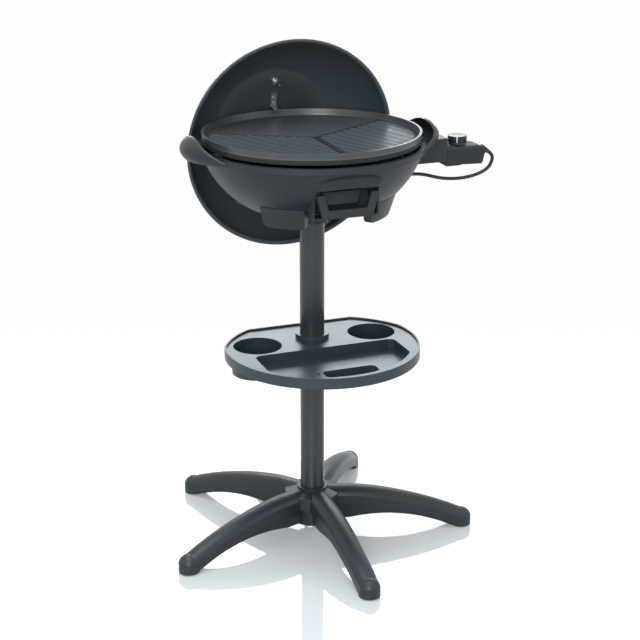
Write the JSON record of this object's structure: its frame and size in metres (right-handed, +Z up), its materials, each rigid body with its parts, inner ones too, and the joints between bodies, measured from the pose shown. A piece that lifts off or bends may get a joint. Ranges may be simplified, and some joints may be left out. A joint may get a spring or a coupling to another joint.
{
  "type": "electric grill on a stand",
  "caption": "Round electric grill with a bowl, ribbed plate, hung lid, grease drawer and plug-in thermostat on a pole with a tray and a star-shaped base.",
  "frame": {"origin": "on the floor, under the middle of the object's box without its cord", "axes": "+Z up, -Y to the front where the drawer is, +X to the thermostat's side"},
  "size_m": [0.6978, 0.5996, 0.9849],
  "materials": {
    "stand_plastic": "satin slate grey moulding",
    "fastener_steel": "zinc plated",
    "pad_rubber": "matte rubber",
    "pole_paint": "satin powder coat",
    "bare_steel": "plain sheet and tube",
    "tray_plastic": "satin slate grey moulding",
    "body_plastic": "satin slate grey moulding",
    "drawer_plastic": "satin grey moulding",
    "plate_coating": "non-stick coating on cast aluminium",
    "element_metal": "tarnished tube",
    "control_plastic": "black semi-gloss moulding",
    "silver": "satin silver",
    "cord_rubber": "black sheath",
    "lid_enamel": "black satin enamel",
    "handle_plastic": "black satin grip",
    "dial_face": "white printed dial",
    "needle_paint": "red paint",
    "gauge_glass": "clear"
  },
  "bodies": {
    "stand": {"base_hub": "stand_plastic", "leg_front": "stand_plastic", "leg_front_right": "stand_plastic", "leg_back_right": "stand_plastic", "leg_back_left": "stand_plastic", "leg_front_left": "stand_plastic", "leg_screws": "fastener_steel", "mount_screws": "fastener_steel", "foot_pads": "pad_rubber", "lower_pole": "pole_paint", "upper_pole": "pole_paint", "pole_joiner": "bare_steel", "heat_shield": "bare_steel", "tray": "tray_plastic", "bowl": "body_plastic", "terminal_shroud": "body_plastic", "bowl_mount": "body_plastic", "cord_clip": "body_plastic", "grill_plate": "plate_coating", "heating_element": "element_metal", "terminal_pins": "element_metal", "plug_pins": "silver", "power_cord": "cord_rubber", "power_plug": "cord_rubber"},
    "lid": {"lid_shell": "lid_enamel", "lid_handle": "handle_plastic", "handle_screws": "fastener_steel", "lid_hook": "bare_steel", "hook_rivets": "fastener_steel", "thermometer_case": "silver", "thermometer_dial": "dial_face", "thermometer_glass": "gauge_glass", "thermometer_stem": "bare_steel", "thermometer_nut": "bare_steel"},
    "needle": {"thermometer_needle": "needle_paint"},
    "drawer": {"drip_drawer": "drawer_plastic"},
    "thermostat": {"thermostat_base": "control_plastic", "thermostat_cover": "control_plastic", "thermostat_probe": "element_metal", "housing_screws": "fastener_steel", "strain_relief": "cord_rubber", "cord_lead": "cord_rubber"},
    "knob": {"knob": "control_plastic", "knob_cap": "silver", "knob_spindle": "control_plastic"}
  },
  "joints": [
    {"name": "lid_lift", "type": "slide", "parent": "stand", "child": "lid", "axis": [0, 0.6429, 0.7659], "range_m": [0, 0.3]},
    {"name": "needle_turn", "type": "hinge", "parent": "lid", "child": "needle", "pos_m": [-0.03078, 0.24141, 0.88537], "axis": [0, 0.9912, 0.1323], "range_deg": [0, 270]},
    {"name": "drawer_pull", "type": "slide", "parent": "stand", "child": "drawer", "axis": [0, -1, 0], "range_m": [0, 0.12]},
    {"name": "thermostat_plug", "type": "slide", "parent": "stand", "child": "thermostat", "axis": [1, 0, 0], "range_m": [0, 0.05]},
    {"name": "knob_turn", "type": "hinge", "parent": "thermostat", "child": "knob", "pos_m": [0.27222, 0.02621, 0.78], "axis": [0, 0, 1], "range_deg": [0, 300]}
  ]
}
